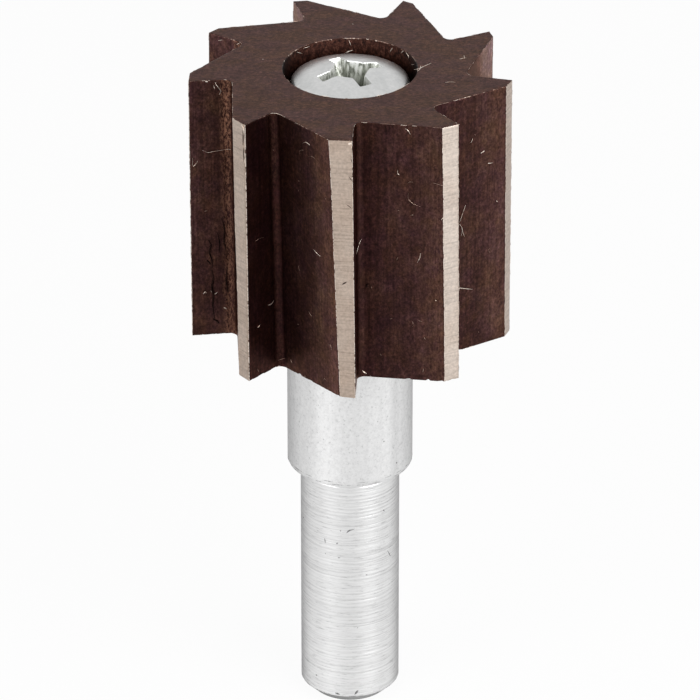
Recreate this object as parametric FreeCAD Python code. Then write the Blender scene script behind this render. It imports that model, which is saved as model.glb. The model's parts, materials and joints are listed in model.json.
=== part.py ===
import FreeCAD, Part
import math
import os

# A small straight-toothed side cutter on a stepped aluminium arbor, held by one pan head screw.
# Three pieces come apart on the bench: the steel cutter head, the turned arbor and the clamp screw.
# The cutter head drops over the arbor's spigot and sits on its collar. The screw's head bears on the
# floor of the counterbore and clamps the cutter head against the collar, so friction drives it.
# Frame: millimetres, origin at the centre of the shank's free end, +Z along the axis to the cutter.
# Seen from the screw's end the tool cuts anticlockwise, and each rake face leads its tooth that way.

# Arbor
shank_diameter = 8.0
shank_length = 21.3
shank_end_chamfer = 0.9
collar_diameter = 10.1
collar_length = 12.6
collar_edge_chamfer = 0.2
spigot_diameter = 7.0
spigot_end_chamfer = 0.4
spigot_setback = 0.6         # the spigot stops short of the screw's seat, so the screw can clamp

# Cutter head
cutter_diameter = 25.7       # over the cutting edges
cutter_length = 22.5
tooth_count = 9
first_edge_angle = 31.9      # one cutting edge at the lower face, from +X
edge_twist = -1.2            # how far the edges turn on the way up to the upper face
rake_angle = -4.5            # negative: the foot of the rake face stands ahead of its cutting edge
gullet_depth = 3.6           # down the rake face, to where it would meet the flank
gullet_radius = 0.6
land_width_low = 1.2         # ground land behind each cutting edge, at the lower face
land_width_high = 1.4        # the same at the upper face
relief_angle = 14.0          # how steeply the land falls away behind the cutting edge
bore_clearance = 0.02        # on radius, over the spigot
counterbore_depth = 3.72

# Clamp screw
thread_diameter = 5.0
screw_length = 16.0          # under the head
screw_tip_chamfer = 0.7
head_diameter = 9.4
head_height = 3.7
head_dome_radius = 11.0
head_edge_round = 0.5
head_side_clearance = 0.58   # on radius, to the counterbore's wall
recess_turn = 28.0           # one wing of the cross recess, from +X
recess_width = 5.6           # over two opposite wings, at the level of the dome's top
recess_wing = 1.0            # thickness of a wing
recess_end_angle = 27.0      # the wings' outer ends, from the axis
recess_depth = 2.4
recess_core_high = 3.2       # diameter of the round core at the level of the dome's top
recess_core_low = 1.9        # and at the recess's floor
recess_point_angle = 140.0

# Tapped hole in the arbor
thread_clearance = 0.05      # on radius, because the thread's turns aren't cut
hole_run_out = 2.5           # past the screw's tip
drill_point_angle = 118.0

# Heights along the axis, worked out from the sizes above
collar_low = shank_length
shoulder = collar_low + collar_length
cutter_top = shoulder + cutter_length
screw_seat = cutter_top - counterbore_depth
spigot_top = screw_seat - spigot_setback
screw_tip = screw_seat - screw_length
hole_floor = screw_tip - hole_run_out
head_top = screw_seat + head_height

OVERSHOOT = 1.0              # how far a cut runs past the face that it enters
SAME_HEIGHT = 1e-6           # two heights closer than this are the same
Z_AXIS = FreeCAD.Vector(0, 0, 1)
ORIGIN = FreeCAD.Vector(0, 0, 0)


def turned(corners):
    """The solid made by turning a closed profile of (radius, z) corners about the axis."""
    path = [FreeCAD.Vector(radius, 0, z) for radius, z in corners]
    return Part.Face(Part.makePolygon(path + path[:1])).revolve(ORIGIN, Z_AXIS, 360)


def cone_height(radius, full_angle):
    """The height of a pointed cone of this radius and full angle."""
    return radius / math.tan(math.radians(full_angle / 2))


def make_arbor():
    """Shank, collar and spigot turned in one piece, with the screw's hole drilled from the top."""
    shank = shank_diameter / 2
    collar = collar_diameter / 2
    spigot = spigot_diameter / 2
    hole = thread_diameter / 2 + thread_clearance
    return turned([
        (0, 0),
        (shank - shank_end_chamfer, 0),
        (shank, shank_end_chamfer),
        (shank, collar_low),
        (collar - collar_edge_chamfer, collar_low),
        (collar, collar_low + collar_edge_chamfer),
        (collar, shoulder),
        (spigot, shoulder),
        (spigot, spigot_top - spigot_end_chamfer),
        (spigot - spigot_end_chamfer, spigot_top),
        (hole, spigot_top),
        (hole, hole_floor),
        (0, hole_floor - cone_height(hole, drill_point_angle)),
    ])


def rounded_corner(start, corner, end, radius):
    """First, middle and last point of the arc that rounds the corner between two straight lines."""
    to_start = (start - corner).normalize()
    to_end = (end - corner).normalize()
    half_angle = to_start.getAngle(to_end) / 2
    towards_centre = (to_start + to_end).normalize()
    centre = corner + towards_centre * (radius / math.sin(half_angle))
    foot = radius / math.tan(half_angle)
    return corner + to_start * foot, centre - towards_centre * radius, corner + to_end * foot


def tooth_space(land_width):
    """Points of one pitch, from a cutting edge on +X anticlockwise to the next tooth's edge."""
    tip_radius = cutter_diameter / 2
    rake = math.radians(rake_angle)
    relief = math.radians(relief_angle)
    pitch = math.radians(360 / tooth_count)
    inward = FreeCAD.Vector(-math.cos(pitch), -math.sin(pitch), 0)
    backward = FreeCAD.Vector(math.sin(pitch), -math.cos(pitch), 0)

    edge = FreeCAD.Vector(tip_radius, 0, 0)
    root = edge - FreeCAD.Vector(math.cos(rake), math.sin(rake), 0) * gullet_depth
    next_edge = inward * -tip_radius
    heel = next_edge + (backward * math.cos(relief) + inward * math.sin(relief)) * land_width
    return [edge, *rounded_corner(edge, root, heel, gullet_radius), heel, next_edge]


def tooth_outline(z, land_width, angle):
    """The cutter's closed outline at one height: rake face, gullet, flank and land of each tooth."""
    space = tooth_space(land_width)
    edges = []
    for number in range(tooth_count):
        turn = FreeCAD.Rotation(Z_AXIS, angle + number * 360 / tooth_count)
        edge, rake_foot, gullet, flank_foot, heel, next_edge = [
            turn.multVec(corner) + Z_AXIS * z for corner in space
        ]
        edges += [
            Part.makeLine(edge, rake_foot),
            Part.Arc(rake_foot, gullet, flank_foot).toShape(),
            Part.makeLine(flank_foot, heel),
            Part.makeLine(heel, next_edge),
        ]
    return Part.Wire(edges)


def make_cutter_head():
    """The toothed body, drawn between its two end outlines, with a bore and a counterbore."""
    lower = tooth_outline(shoulder, land_width_low, first_edge_angle)
    upper = tooth_outline(cutter_top, land_width_high, first_edge_angle + edge_twist)
    body = Part.makeLoft([lower, upper], True, True)

    bore = Part.makeCylinder(
        spigot_diameter / 2 + bore_clearance,
        cutter_length + 2 * OVERSHOOT,
        Z_AXIS * (shoulder - OVERSHOOT),
    )
    counterbore = Part.makeCylinder(
        head_diameter / 2 + head_side_clearance,
        counterbore_depth + OVERSHOOT,
        Z_AXIS * screw_seat,
    )
    return body.cut(bore.fuse(counterbore))


def make_recess():
    """The cutter for the cross recess: four tapering wings round a core with a pointed floor."""
    floor = head_top - recess_depth
    reach_high = recess_width / 2
    slope = math.tan(math.radians(recess_end_angle))
    reach_low = reach_high - recess_depth * slope
    reach_over = reach_high + OVERSHOOT * slope
    side = Part.makePolygon([
        FreeCAD.Vector(-reach_over, -recess_wing / 2, head_top + OVERSHOOT),
        FreeCAD.Vector(reach_over, -recess_wing / 2, head_top + OVERSHOOT),
        FreeCAD.Vector(reach_low, -recess_wing / 2, floor),
        FreeCAD.Vector(-reach_low, -recess_wing / 2, floor),
        FreeCAD.Vector(-reach_over, -recess_wing / 2, head_top + OVERSHOOT),
    ])
    wings = Part.Face(side).extrude(FreeCAD.Vector(0, recess_wing, 0))
    crossed = wings.copy()
    crossed.rotate(ORIGIN, Z_AXIS, 90)

    core_high = recess_core_high / 2
    core_low = recess_core_low / 2
    core_over = core_high + (core_high - core_low) * OVERSHOOT / recess_depth
    core = turned([
        (0, head_top + OVERSHOOT),
        (core_over, head_top + OVERSHOOT),
        (core_low, floor),
        (0, floor - cone_height(core_low, recess_point_angle)),
    ])
    recess = wings.multiFuse([crossed, core])
    recess.rotate(ORIGIN, Z_AXIS, recess_turn)
    return recess


def make_clamp_screw():
    """A pan head screw: domed head with a cross recess, and a plain shank at the thread's size."""
    head = head_diameter / 2
    shank = thread_diameter / 2
    dome_centre = head_top - head_dome_radius
    rim = dome_centre + math.sqrt(head_dome_radius**2 - head**2)
    halfway = math.asin(head / head_dome_radius) / 2
    crown = FreeCAD.Vector(
        head_dome_radius * math.sin(halfway), 0, dome_centre + head_dome_radius * math.cos(halfway)
    )
    corners = [FreeCAD.Vector(radius, 0, z) for radius, z in (
        (head, rim),
        (head, screw_seat),
        (shank, screw_seat),
        (shank, screw_tip + screw_tip_chamfer),
        (shank - screw_tip_chamfer, screw_tip),
        (0, screw_tip),
        (0, head_top),
    )]
    sides = [Part.makeLine(first, second) for first, second in zip(corners, corners[1:])]
    dome = Part.Arc(corners[-1], crown, corners[0]).toShape()
    screw = Part.Face(Part.Wire(sides + [dome])).revolve(ORIGIN, Z_AXIS, 360)

    rim_edges = [
        edge for edge in screw.Edges
        if max(abs(edge.BoundBox.ZMin - rim), abs(edge.BoundBox.ZMax - rim)) < SAME_HEIGHT
    ]
    return screw.makeFillet(head_edge_round, rim_edges).cut(make_recess())


def main():
    os.makedirs("parts", exist_ok=True)
    pieces = {
        "arbor": make_arbor(),
        "cutter_head": make_cutter_head(),
        "clamp_screw": make_clamp_screw(),
    }
    for node, shape in pieces.items():
        solid = shape.Solids[0]
        solid.exportStep(f"parts/{node}.step")
        print(node, "solids", len(shape.Solids), "valid", solid.isValid(), "volume", round(solid.Volume, 2))


main()
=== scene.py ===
import json
import random
from functools import partial
from math import acos, cos, dist, hypot, pi, radians, sin, sqrt, tan

import bpy
import numpy as np
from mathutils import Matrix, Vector, noise
from numpy.linalg import norm, solve


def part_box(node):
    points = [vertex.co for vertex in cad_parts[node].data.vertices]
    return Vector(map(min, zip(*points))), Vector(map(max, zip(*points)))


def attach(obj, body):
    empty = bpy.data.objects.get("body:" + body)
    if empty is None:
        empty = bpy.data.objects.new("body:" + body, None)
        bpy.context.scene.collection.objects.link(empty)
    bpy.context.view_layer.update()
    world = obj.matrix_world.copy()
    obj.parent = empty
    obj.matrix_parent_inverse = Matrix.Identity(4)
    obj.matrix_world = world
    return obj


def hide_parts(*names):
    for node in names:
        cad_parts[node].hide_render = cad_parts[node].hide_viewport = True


# The looks of a small straight-toothed cutter head on a turned aluminium arbor.
# Lengths are in millimetres until a mesh is made, where MM turns them into metres.

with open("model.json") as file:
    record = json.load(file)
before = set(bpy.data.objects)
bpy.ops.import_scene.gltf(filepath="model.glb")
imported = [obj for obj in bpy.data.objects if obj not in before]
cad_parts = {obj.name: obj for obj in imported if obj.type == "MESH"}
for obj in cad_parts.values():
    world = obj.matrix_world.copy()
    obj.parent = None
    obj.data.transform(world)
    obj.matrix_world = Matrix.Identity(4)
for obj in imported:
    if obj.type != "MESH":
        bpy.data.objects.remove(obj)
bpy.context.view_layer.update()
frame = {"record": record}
MM = 0.001


def node_box(node):
    """Lowest and highest corner of a CAD node, in millimetres."""
    return np.array(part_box(node)) / MM


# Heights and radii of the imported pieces
CUTTER_LOW, CUTTER_HIGH = node_box("cutter_head")[:, 2]
SPIGOT_HIGH = node_box("arbor")[1, 2]
SCREW_LOW = node_box("clamp_screw")[0, 2]
SHANK_RADIUS = frame["record"]["mounts"][0]["dims"]["r_mm"]
COLLAR_RADIUS = node_box("arbor")[1, 0]
HEAD_RADIUS = node_box("clamp_screw")[1, 0]

# Cutter head
TOOTH_COUNT = 9
PITCH = 2 * pi / TOOTH_COUNT
TIP_RADIUS = 12.85
FIRST_EDGE = radians(31.9)
EDGE_TWIST = radians(-1.2)
RAKE_ANGLE = radians(-4.5)
RELIEF_ANGLE = radians(14.0)
FLANK_ANGLE = radians(9.6)
GULLET_RADIUS = 0.6
EDGE_ROUND = 0.04
HEEL_ROUND = 0.06
END_ROUND = 0.05
BORE_RADIUS = 3.52
COUNTERBORE_RADIUS = 5.28
SCREW_SEAT = CUTTER_HIGH - 3.72
# The top lies a little under the CAD's, so that chips and burrs on it stay inside the same box
TOP_FACE = CUTTER_HIGH - 0.02
# The lands were ground slightly off centre, so they differ from tooth to tooth
LANDS_HIGH = (0.98, 0.95, 1.14, 1.14, 1.52, 1.59, 1.83, 1.41, 1.25)
LANDS_LOW = (1, 1, 1.1, 1.1, 1.2, 1.27, 1.24, 1.29, 1.06)
LAND_WAVE = 0.05
# How far each cutting edge is worn back at the screw's end
TIP_WEAR = (0, 0, 0, 0, 0, 0.08, 0.3, 0, 0)
# How far the oxide is rubbed through along the foot of each rake face, fully above these heights
RAKE_WEAR = (0.2, 0.5, 0.1, 0.9, 1, 0.1, 0.1, 0.3, 0.6)
STRIP_FADE = (49.6, 50.8)
# Painted light and shade, as paleness, on each rake face, at the root of each flank and towards its heel
RAKE_PAINTED_LIGHT = (1, 1, 3.7, 1.5, 0.88, 0.56, 0.8, 1, 1)
FLANK_ROOT_PAINTED_SHADE = (0.65,) * 5 + (0.8,) + (0.65,) * 3
FLANK_PAINTED_LIGHT = (1.1, 1, 1.1, 1, 1, 1.62, 1, 1.1, 3.8)
# Where between root and heel the painted light on each flank grows paler
FLANK_PAINTED_LIGHT_FADE = ((0.2, 0.7),) * 5 + ((0.45, 1.1),) + ((0.2, 0.7),) * 3
# Painted light and shade on each ground land, as paleness
LAND_PAINTED_LIGHT = (1, 1, 1, 1, 1, 0.9, 0.84, 1.1, 0.94)

# Arbor
SHANK_LENGTH = 21.3
SHANK_CHAMFER = 0.9
COLLAR_EDGE = 0.2
SPIGOT_RADIUS = 3.5
SPIGOT_CHAMFER = 0.4
HOLE_RADIUS = 2.55
HOLE_FLOOR = 34.18
HOLE_POINT = 1.53

# Clamp screw
HEAD_TOP = 56.38
DOME_RADIUS = 11.0
HEAD_ROUND = 0.5
THREAD_RADIUS = 2.5
THREAD_PITCH = 0.8
THREAD_DEPTH = 0.43
SCREW_TIP_CHAMFER = 0.7
RECESS_TURN = radians(28.0)
RECESS_DEPTH = 2.4
# Reach and half thickness of the recess's wings, and its core's radius, at the top and the floor
RECESS_TOP = (2.64, 0.5, 1.55)
RECESS_FLOOR = (1.34, 0.4, 0.98)


# Meshes

def finish_piece(piece, node, materials, sharp_angle):
    """Smooth shading and materials; puts the piece under the root body and hides the CAD node that it stands
    for.
    """
    piece.data.shade_smooth()
    piece.data.set_sharp_from_angle(angle=radians(sharp_angle))
    for made in materials:
        piece.data.materials.append(made)
    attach(piece, "root")
    if node:
        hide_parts(node)


def new_object(name, points, faces):
    """A mesh object from points in millimetres."""
    mesh = bpy.data.meshes.new(name)
    mesh.from_pydata([tuple(p) for p in np.asarray(points, float) * MM], [], faces)
    mesh.update()
    piece = bpy.data.objects.new(name, mesh)
    bpy.context.scene.collection.objects.link(piece)
    return piece


def add_values(mesh, name, values):
    """A value for each point of a mesh, which its materials read."""
    mesh.attributes.new(name, "FLOAT", "POINT").data.foreach_set("value", values)


def ring_faces(rows, columns, closed=False):
    """Quads between rings of points, with the last ring joined to the first, or else with two caps."""
    faces = []
    for row in range(rows if closed else rows - 1):
        low, high = row * columns, (row + 1) % rows * columns
        for column in range(columns):
            after = (column + 1) % columns
            faces.append((low + column, low + after, high + after, high + column))
    if not closed:
        faces.append(tuple(reversed(range(columns))))
        faces.append(tuple(range((rows - 1) * columns, rows * columns)))
    return faces


def stacked(rows):
    """Rings of plane points and their heights, as one array of points."""
    return np.concatenate([np.column_stack([ring, np.broadcast_to(z, len(ring))]) for ring, z in rows])


def wave(*where):
    """Smooth noise between about -1 and 1."""
    return noise.noise(Vector(where))


def smooth_step(low, high, value):
    """0 under the low value, 1 over the high one, and a smooth change between."""
    part = min(1.0, max(0.0, (value - low) / (high - low)))
    return part * part * (3 - 2 * part)


def blend(first, last, part):
    return first * (1 - part) + last * part


def unit(vector):
    return vector / norm(vector)


def polar(angle):
    """The plane direction at an angle, or one direction for each of many angles."""
    return np.stack([np.cos(angle), np.sin(angle)], -1)


def around(columns):
    return np.linspace(0, 2 * pi, columns, endpoint=False)


def circle(radius, columns):
    return radius * polar(around(columns))


def turned_by(points, angle):
    """Plane points turned about the axis."""
    across, up = polar(angle)
    return points @ np.array([[across, up], [-up, across]])


def rounding(start, corner, end, radius, steps):
    """Points of the arc that rounds the corner between two straight lines."""
    to_start = unit(start - corner)
    to_end = unit(end - corner)
    half = acos(float(np.clip(to_start @ to_end, -1, 1))) / 2
    centre = corner + unit(to_start + to_end) * radius / sin(half)
    first = corner + to_start * radius / tan(half) - centre
    last = corner + to_end * radius / tan(half) - centre
    parts = [step / steps for step in range(steps + 1)]
    return [centre + unit(blend(first, last, part)) * radius for part in parts]


def line(start, end, steps):
    """Points between two ends, both left out."""
    return [start + (end - start) * step / steps for step in range(1, steps)]


# Cutter head

RAKE_STEPS = 12
GULLET_STEPS = 8
FLANK_STEPS = 34
LAND_STEPS = 7
ROUND_STEPS = 3
KINDS = (["edge"] * ROUND_STEPS + ["rake"] * RAKE_STEPS + ["gullet"] * GULLET_STEPS
         + ["flank"] * FLANK_STEPS + ["heel"] * ROUND_STEPS + ["land"] * LAND_STEPS)
RAKE, GULLET, FLANK, HEEL, LAND = [KINDS.index(kind) for kind in ("rake", "gullet", "flank", "heel", "land")]
PER_PITCH = len(KINDS)
COLUMNS = PER_PITCH * TOOTH_COUNT
# The way back along a land from its cutting edge, where the edge is on +X
LAND_WAY = -pi / 2 - RELIEF_ANGLE


def meeting(point, direction, other, other_direction):
    """Where two straight lines in the plane meet."""
    along = solve(np.array([direction, -other_direction]).T, other - point)
    return point + direction * along[0]


def pitch_points(land_here, land_next, worn_here, worn_next):
    """Points of one pitch, with its cutting edge on +X: edge, rake face, gullet, flank, heel and land."""
    edge = TIP_RADIUS * polar(0)
    next_edge = TIP_RADIUS * polar(PITCH)
    own_heel = edge + land_here * polar(LAND_WAY)
    heel = next_edge + land_next * polar(PITCH + LAND_WAY)
    root = meeting(edge, -polar(RAKE_ANGLE), heel, polar(pi / 2 - FLANK_ANGLE))
    edge = edge + unit(root - edge) * worn_here
    next_edge = next_edge * (1 - worn_next / TIP_RADIUS)
    edge_round = rounding(own_heel, edge, root, EDGE_ROUND, ROUND_STEPS)
    gullet = rounding(edge, root, heel, GULLET_RADIUS, GULLET_STEPS)
    heel_round = rounding(root, heel, next_edge, HEEL_ROUND, ROUND_STEPS)
    land_end = rounding(heel, next_edge, np.zeros(2), EDGE_ROUND, 1)[0]
    return (edge_round + line(edge_round[-1], gullet[0], RAKE_STEPS) + gullet
            + line(gullet[-1], heel_round[0], FLANK_STEPS) + heel_round
            + line(heel_round[-1], land_end, LAND_STEPS))


def height_share(z):
    """0 at the cutter's lower face and 1 at its upper face."""
    return (z - CUTTER_LOW) / (CUTTER_HIGH - CUTTER_LOW)


def land_width(tooth, z):
    """Width of one tooth's ground land at a height, with the unevenness of hand grinding."""
    width = LANDS_LOW[tooth] + (LANDS_HIGH[tooth] - LANDS_LOW[tooth]) * height_share(z)
    return width + LAND_WAVE * (wave(z * 0.22, tooth * 7.3, 1.5) + 0.35 * wave(z * 1.3, tooth * 3.1, 8.5))


def edge_angle(tooth, z):
    return FIRST_EDGE + EDGE_TWIST * height_share(z) + tooth * PITCH


def pitch_outline(pitch, z):
    """One pitch of the outline at a height."""
    following = (pitch + 1) % TOOTH_COUNT
    points = pitch_points(land_width(pitch, z), land_width(following, z),
                          TIP_WEAR[pitch] * height_share(z), TIP_WEAR[following] * height_share(z))
    return turned_by(np.array(points), edge_angle(pitch, z))


def cutter_outline(z):
    """The whole outline at one height, anticlockwise."""
    return np.concatenate([pitch_outline(pitch, z) for pitch in range(TOOTH_COUNT)])


def inset(outline, distance):
    """The outline moved inwards along its own normals."""
    tangent = np.roll(outline, -1, 0) - np.roll(outline, 1, 0)
    tangent /= norm(tangent, axis=1)[:, None]
    return outline + np.stack([-tangent[:, 1], tangent[:, 0]], 1) * np.reshape(distance, (-1, 1))


def drawn_in(outline, radius):
    """A circle with its points at the angles of an outline's."""
    return radius * outline / norm(outline, axis=1)[:, None]


ROW_STEP = 0.33
# How far up the sides the chipping at each end reaches
NICK_REACH = 0.28
# How deep chipping goes into each kind of surface at the two ends
CHIPPED = {"edge": 0.0, "rake": 1.0, "gullet": 0.6, "flank": 1.0, "heel": 0.0, "land": 0.4}


def chipping(seed, amount, threshold):
    """How far each column's end is chipped away."""
    depths = []
    for column in range(COLUMNS):
        nick = wave(column * 0.31, seed, 0.7) + 0.5 * wave(column * 0.93, seed, 4.1)
        depths.append(max(0.0, nick - threshold) * amount * CHIPPED[KINDS[column % PER_PITCH]])
    return np.array(depths)


def cutter_rows():
    """The cutter head's rings: outside upwards, over the top, down the bore and back. With three row numbers:
    the first over the top, the counterbore's rim, and the end of its floor."""
    low_nicks = chipping(3.0, 0.42, 0.16)
    high_nicks = chipping(11.0, 0.13, 0.14)
    low = cutter_outline(CUTTER_LOW)
    high = cutter_outline(TOP_FACE)
    low_inner = inset(low, END_ROUND + low_nicks * 1.5)
    rows = [(low_inner, CUTTER_LOW),
            (inset(low, END_ROUND * 0.3 + low_nicks * 0.5), CUTTER_LOW + END_ROUND * 0.3 + low_nicks * 0.6)]
    steps = int((TOP_FACE - CUTTER_LOW - 0.5) / ROW_STEP)
    for z in (CUTTER_LOW + END_ROUND, CUTTER_LOW + NICK_REACH / 2,
              *np.linspace(CUTTER_LOW + NICK_REACH, TOP_FACE - NICK_REACH, steps),
              TOP_FACE - NICK_REACH / 2, TOP_FACE - END_ROUND):
        near_low = max(0.0, (CUTTER_LOW + NICK_REACH - z) / (NICK_REACH - END_ROUND))
        near_high = max(0.0, (z - TOP_FACE + NICK_REACH) / (NICK_REACH - END_ROUND))
        rows.append((cutter_outline(z), z + low_nicks * near_low - high_nicks * near_high))
    top = len(rows)
    inner = inset(high, END_ROUND + high_nicks * 0.6)
    rows += [(inset(high, END_ROUND * 0.3 + high_nicks * 0.3), TOP_FACE - END_ROUND * 0.3 - high_nicks * 0.6),
             (inner, TOP_FACE)]
    rim_circle = drawn_in(high, COUNTERBORE_RADIUS + END_ROUND)
    for part in (0.06, 0.2, 0.4, 0.6, 0.8, 0.94, 1.0):
        rows.append((blend(inner, rim_circle, part), TOP_FACE))
    rim = len(rows) - 1
    for z in (TOP_FACE - END_ROUND, TOP_FACE - 0.3, TOP_FACE - 1.2, TOP_FACE - 2.4, SCREW_SEAT):
        rows.append((drawn_in(high, COUNTERBORE_RADIUS), z))
    bore, low_bore = drawn_in(high, BORE_RADIUS), drawn_in(low, BORE_RADIUS)
    floor_end = len(rows)
    for part in (0, 0.25, 0.5, 0.75, 1):
        rows.append((blend(bore, low_bore, part), blend(SCREW_SEAT, CUTTER_LOW, part)))
    for part in (0.25, 0.6, 0.9):
        rows.append((blend(low_bore, low_inner, part), CUTTER_LOW))
    return rows, top, rim, floor_end


def make_cutter(materials):
    """The cutter head as one closed mesh: milled sides, ground lands, worn edges, end faces and bore."""
    rows, top, rim, floor_end = cutter_rows()
    points = stacked(rows)
    piece = new_object("cutter_body", points, ring_faces(len(rows), COLUMNS, closed=True))
    sides = {"land": 1, "edge": 2, "heel": 2}
    for index, polygon in enumerate(piece.data.polygons):
        row, column = divmod(index, COLUMNS)
        if 1 <= row < top:
            polygon.material_index = sides.get(KINDS[column % PER_PITCH], 0)
        elif row in (top, rim):
            polygon.material_index = 5
        elif top < row < rim:
            polygon.material_index = 3
        elif rim < row < floor_end:
            polygon.material_index = 4
    finishes = [finish_at(*divmod(index % COLUMNS, PER_PITCH), *point) for index, point in enumerate(points)]
    # wear is the oxide rubbed through; tone is painted light and shade
    for name, values in zip(("wear", "tone"), zip(*finishes)):
        add_values(piece.data, name, values)
    finish_piece(piece, "cutter_head", materials, 25.0)


def finish_at(pitch, place, x, y, z):
    """How far the oxide is rubbed through at a point of one pitch, and how pale its painted light and shade
    make it.
    """
    # On the counterbore's wall, tone is painted shade: darker at its sides and front, paler at its back
    if hypot(x, y) < COUNTERBORE_RADIUS + END_ROUND * 1.5 and z > SCREW_SEAT - END_ROUND:
        return 0.0, 0.25 + 0.8 * smooth_step(0.1, 0.75, y / COUNTERBORE_RADIUS)
    if place >= LAND:
        # The land's painted light and shade
        return 0.0, LAND_PAINTED_LIGHT[(pitch + 1) % TOOTH_COUNT]
    if place >= FLANK:
        out = min(1.0, (place - FLANK) / FLANK_STEPS)
        root = FLANK_ROOT_PAINTED_SHADE[pitch]
        # Painted shade darkens the flank towards its root, and painted light makes it paler towards its heel
        tone = root + (0.85 - root) * smooth_step(0.0, 0.45, out) + 0.2 * smooth_step(0.45, 1.0, out)
        tone *= 1 + (FLANK_PAINTED_LIGHT[pitch] - 1) * smooth_step(*FLANK_PAINTED_LIGHT_FADE[pitch], out)
        wear = 0.25 * smooth_step(0.6, 1.0, out) * (0.8 + 0.5 * wave(z * 0.15, pitch * 2.7, 3.3))
        return (wear if place < HEEL else 0.0), tone
    strip = RAKE_WEAR[pitch] * (0.55 + 0.45 * smooth_step(*STRIP_FADE, z))
    if place >= GULLET:
        across = (place - GULLET) / GULLET_STEPS
        # Painted shade dims the gullet and the highlight in it, most on its rake side
        tone = RAKE_PAINTED_LIGHT[pitch] * (0.45 + 0.4 * smooth_step(0.3, 0.7, across))
        return strip * (1 - smooth_step(0.5, 0.8, across)), tone
    # Painted light and shade on the rake face
    return strip * smooth_step(0.8, 0.95, (place - RAKE) / RAKE_STEPS), RAKE_PAINTED_LIGHT[pitch]


# Chips and burrs

# Chips on the sides: pitch, thickness, then distance from the cutting edge and height, point by point
BRIGHT_CHIPS = (
    (4, 0.032, 1.34, 56.33, 1.57, 56.3), (4, 0.025, 2.11, 56.2, 2.26, 55.93, 2.57, 55.48, 2.42, 55.1),
    (4, 0.029, 2.03, 55.85, 2.11, 55.63), (4, 0.043, 2.59, 36.3, 2.84, 36.13),
    (4, 0.022, 1.56, 37.85, 1.86, 37.55, 2.1, 37.72), (4, 0.022, 0.96, 37.6, 1.12, 37.8, 1.26, 37.63),
    (4, 0.017, 0.28, 49.7, 0.28, 49.03, 0.44, 49.1, 0.67, 49.4),
    (4, 0.015, 1.06, 50.35, 1.45, 50.17, 1.83, 50.23, 2.53, 50.3, 3.34, 50.38),
    (5, 0.029, 6.32, 54.92, 6.7, 55.2, 7.16, 55.1), (5, 0.022, 7.43, 46, 7.78, 45.88, 8.23, 45.7),
    (5, 0.036, 2.27, 39.82, 2.59, 39.8, 2.9, 39.92), (5, 0.032, 1.09, 38.28, 1.28, 38.45),
    (6, 0.022, 6.84, 56.12, 7.08, 55.98, 7.26, 55.63), (6, 0.022, 6.32, 52.45, 6.3, 52.18, 6.46, 52.03),
    (6, 0.04, 9.41, 41.23, 9.48, 41.13), (6, 0.05, 3.69, 34.45, 4.02, 34.2),
    (7, 0.024, 6.05, 39.65, 6.64, 39.45, 7.39, 39.13), (7, 0.02, 6.32, 44.7, 6.54, 44.08),
    (7, 0.024, 6.05, 45.4, 6.3, 44.85, 6.24, 44.3), (7, 0.022, 6.62, 46.9, 6.3, 46.3, 6.05, 45.5),
    (6, 0.026, 9.73, 48.35, 9.91, 48.58), (6, 0.026, 8.17, 45.28, 8.13, 44.9, 7.93, 44.45),
    (6, 0.024, 3.5, 46.2, 3.2, 45.73, 2.95, 45.1), (7, 0.025, 7.03, 52.3, 7.22, 52.6),
    (7, 0.025, 7.97, 51.13, 8.34, 51.25), (7, 0.023, 8.66, 50.05, 9.1, 49.98),
    (7, 0.029, 9.51, 46.48, 9.6, 46.36),
)
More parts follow.
